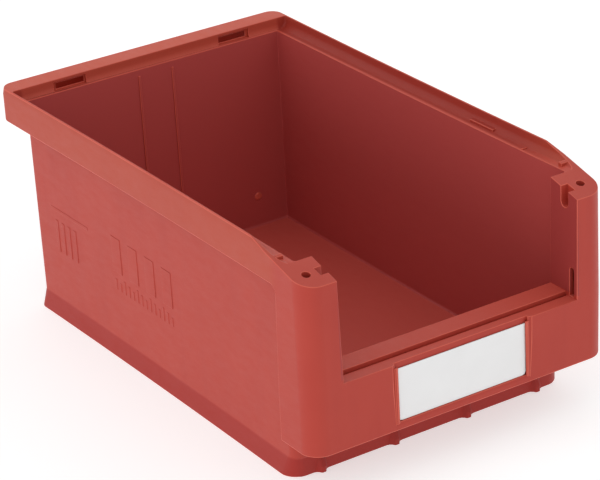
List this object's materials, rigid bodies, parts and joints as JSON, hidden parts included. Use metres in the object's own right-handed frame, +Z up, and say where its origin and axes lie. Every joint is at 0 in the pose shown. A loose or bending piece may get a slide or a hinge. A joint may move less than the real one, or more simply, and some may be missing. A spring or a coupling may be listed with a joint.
{
  "type": "stackable storage bin",
  "caption": "Open-front stacking storage bin with a ledged rim, two front posts, a low front wall and a slide-in label card.",
  "frame": {"origin": "centre of the bin's bounding footprint, at the surface that the bin stands on", "axes": "+Z up, -Y towards the open front, X across the width"},
  "size_m": [0.21, 0.35, 0.15],
  "materials": {
    "red_plastic": "satin moulded, fine grain",
    "white_card": "smooth coated card"
  },
  "bodies": {
    "bin": {"bin_body": "red_plastic"},
    "label": {"label_card": "white_card"}
  },
  "joints": [
    {"name": "label_slide", "type": "slide", "parent": "bin", "child": "label", "axis": [0, 0, 1], "range_m": [0, 0.045]}
  ]
}
